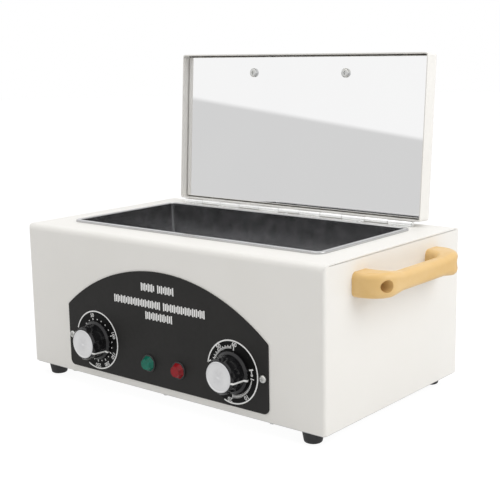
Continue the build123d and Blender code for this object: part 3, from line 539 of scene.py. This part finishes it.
def pointer_line(name, origin, angle, body):
    """White line on the knob at that angle."""
    x, z = origin
    across = Vector((-sin(radians(angle)), 0, cos(radians(angle)))) * line_w / 2 * MM
    outward = Vector((cos(radians(angle)), 0, sin(radians(angle))))
    mesh = bmesh.new()
    rows = []
    for i, (radius, height) in enumerate(knob_profile):
        before = Vector(knob_profile[max(i - 1, 0)])
        after = Vector(knob_profile[min(i + 1, len(knob_profile) - 1)])
        along = (after - before).normalized()
        normal = Vector((-along.y, along.x))
        row = []
        for lift in (-line_t, line_t):
            r = radius + normal.x * lift
            h = height + normal.y * lift
            point = Vector((x, panel_face_y, z)) + outward * r * MM + Vector((0, -h * MM, 0))
            row += [mesh.verts.new(point + across), mesh.verts.new(point - across)]
        rows.append(row)
    for one, two in zip(rows, rows[1:]):
        for a, b in ((0, 1), (1, 3), (3, 2), (2, 0)):
            mesh.faces.new((one[a], one[b], two[b], two[a]))
    mesh.faces.new([rows[0][i] for i in (0, 1, 3, 2)])
    mesh.faces.new([rows[-1][i] for i in (2, 3, 1, 0)])
    bmesh.ops.recalc_face_normals(mesh, faces=mesh.faces)
    piece = make_object(name, mesh, white_ink)
    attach(piece, body)


# Where the pointers stand in the rest pose, in degrees
temperature_rest = -29.0
timer_rest = -12.5
pointer_line("temperature_pointer", temperature_dial, temperature_rest, "temperature_knob")
pointer_line("timer_pointer", timer_dial, timer_rest, "timer_knob")


# Studio: white surroundings, a pale floor that keeps a soft shadow, and two large lamps

# Reflections see white on the side that this direction points to and grey on the other side,
# so that the mirror plate shows the two halves that it shows in the photograph
mirror_split = Vector((0.111734, -0.029965, 0.993286))
split_soft = 0.002
white_above = 0.99
grey_below = 0.69
ambient_level = 0.68

floor_r = 6.0
floor_glow = 1.16
floor_glow_share = 0.78
object_middle = Vector((0, 0, 0.12))


def studio_world():
    """White for the camera, a soft level for light, and a light and a grey half for reflections."""
    world = bpy.data.worlds.new("studio")
    scene.world = world
    world.use_nodes = True
    tree = world.node_tree
    tree.nodes.clear()
    link = tree.links.new

    direction = tree.nodes.new("ShaderNodeTexCoord")
    side = tree.nodes.new("ShaderNodeVectorMath")
    side.operation = "DOT_PRODUCT"
    side.inputs[1].default_value = mirror_split
    link(direction.outputs["Generated"], side.inputs[0])
    level = map_range(tree, side.outputs["Value"], -split_soft, split_soft, grey_below, white_above)

    ambient = add_node(tree, "ShaderNodeBackground", Color=(1.0, 0.995, 0.985, 1), Strength=ambient_level)
    mirrored = add_node(tree, "ShaderNodeBackground", Color=(1, 1, 1, 1))
    link(level, mirrored.inputs["Strength"])
    seen = add_node(tree, "ShaderNodeBackground", Color=(1, 1, 1, 1), Strength=1.0)

    rays = tree.nodes.new("ShaderNodeLightPath").outputs
    straight = tree.nodes.new("ShaderNodeMath")
    straight.operation = "MAXIMUM"
    link(rays["Is Camera Ray"], straight.inputs[0])
    link(rays["Is Transmission Ray"], straight.inputs[1])
    lit = blend(tree, rays["Is Glossy Ray"], ambient.outputs["Background"], mirrored.outputs["Background"])
    whole = blend(tree, straight.outputs["Value"], lit, seen.outputs["Background"])
    output = tree.nodes.new("ShaderNodeOutputWorld")
    link(whole, output.inputs["Surface"])


def floor():
    """Round pale floor: white to the camera apart from the object's soft shadow."""
    material = bpy.data.materials.new("floor_white")
    material.use_nodes = True
    tree = material.node_tree
    matt = tree.nodes["Principled BSDF"]
    matt.inputs["Base Color"].default_value = (0.82, 0.82, 0.82, 1)
    matt.inputs["Roughness"].default_value = 0.9
    matt.inputs["Specular IOR Level"].default_value = 0.1
    glow = add_node(tree, "ShaderNodeEmission", Strength=floor_glow)
    mirrored = add_node(tree, "ShaderNodeEmission", Strength=grey_below)

    rays = tree.nodes.new("ShaderNodeLightPath").outputs
    share = tree.nodes.new("ShaderNodeMath")
    share.operation = "MULTIPLY"
    share.inputs[1].default_value = floor_glow_share
    tree.links.new(rays["Is Camera Ray"], share.inputs[0])
    pale = blend(tree, share.outputs["Value"], matt.outputs["BSDF"], glow.outputs["Emission"])
    whole = blend(tree, rays["Is Glossy Ray"], pale, mirrored.outputs["Emission"])
    tree.links.new(whole, tree.nodes["Material Output"].inputs["Surface"])

    mesh = bmesh.new()
    bmesh.ops.create_circle(mesh, cap_ends=True, segments=96, radius=floor_r)
    plane = make_object("floor", mesh, material)


def lamp(name, place, size, power):
    """Large square area lamp at a place, aimed at the object's middle."""
    light = bpy.data.lights.new(name, "AREA")
    light.size = size
    light.energy = power
    holder = bpy.data.objects.new(name, light)
    holder.location = place
    aim = object_middle - Vector(place)
    holder.rotation_euler = aim.to_track_quat("-Z", "Y").to_euler()
    scene.collection.objects.link(holder)


studio_world()
floor()
lamp("key", (1.5, 0.35, 1.25), size=1.3, power=14)
lamp("top", (-0.2, 0.0, 1.7), size=1.4, power=8)


# Camera at the photograph's place, turned by angles in degrees, and its view without colour changes

camera_place = (0.62166, -0.73765, 0.31075)
camera_angles = (79.0014, 0.9603, 39.4496)
camera_data = bpy.data.cameras.new("camera")
camera_data.lens = 74.98
camera_data.sensor_width = 36.0
camera = bpy.data.objects.new("camera", camera_data)
camera.location = camera_place
camera.rotation_euler = Euler([radians(angle) for angle in camera_angles])
scene.collection.objects.link(camera)
scene.camera = camera
scene.view_settings.view_transform = "Standard"
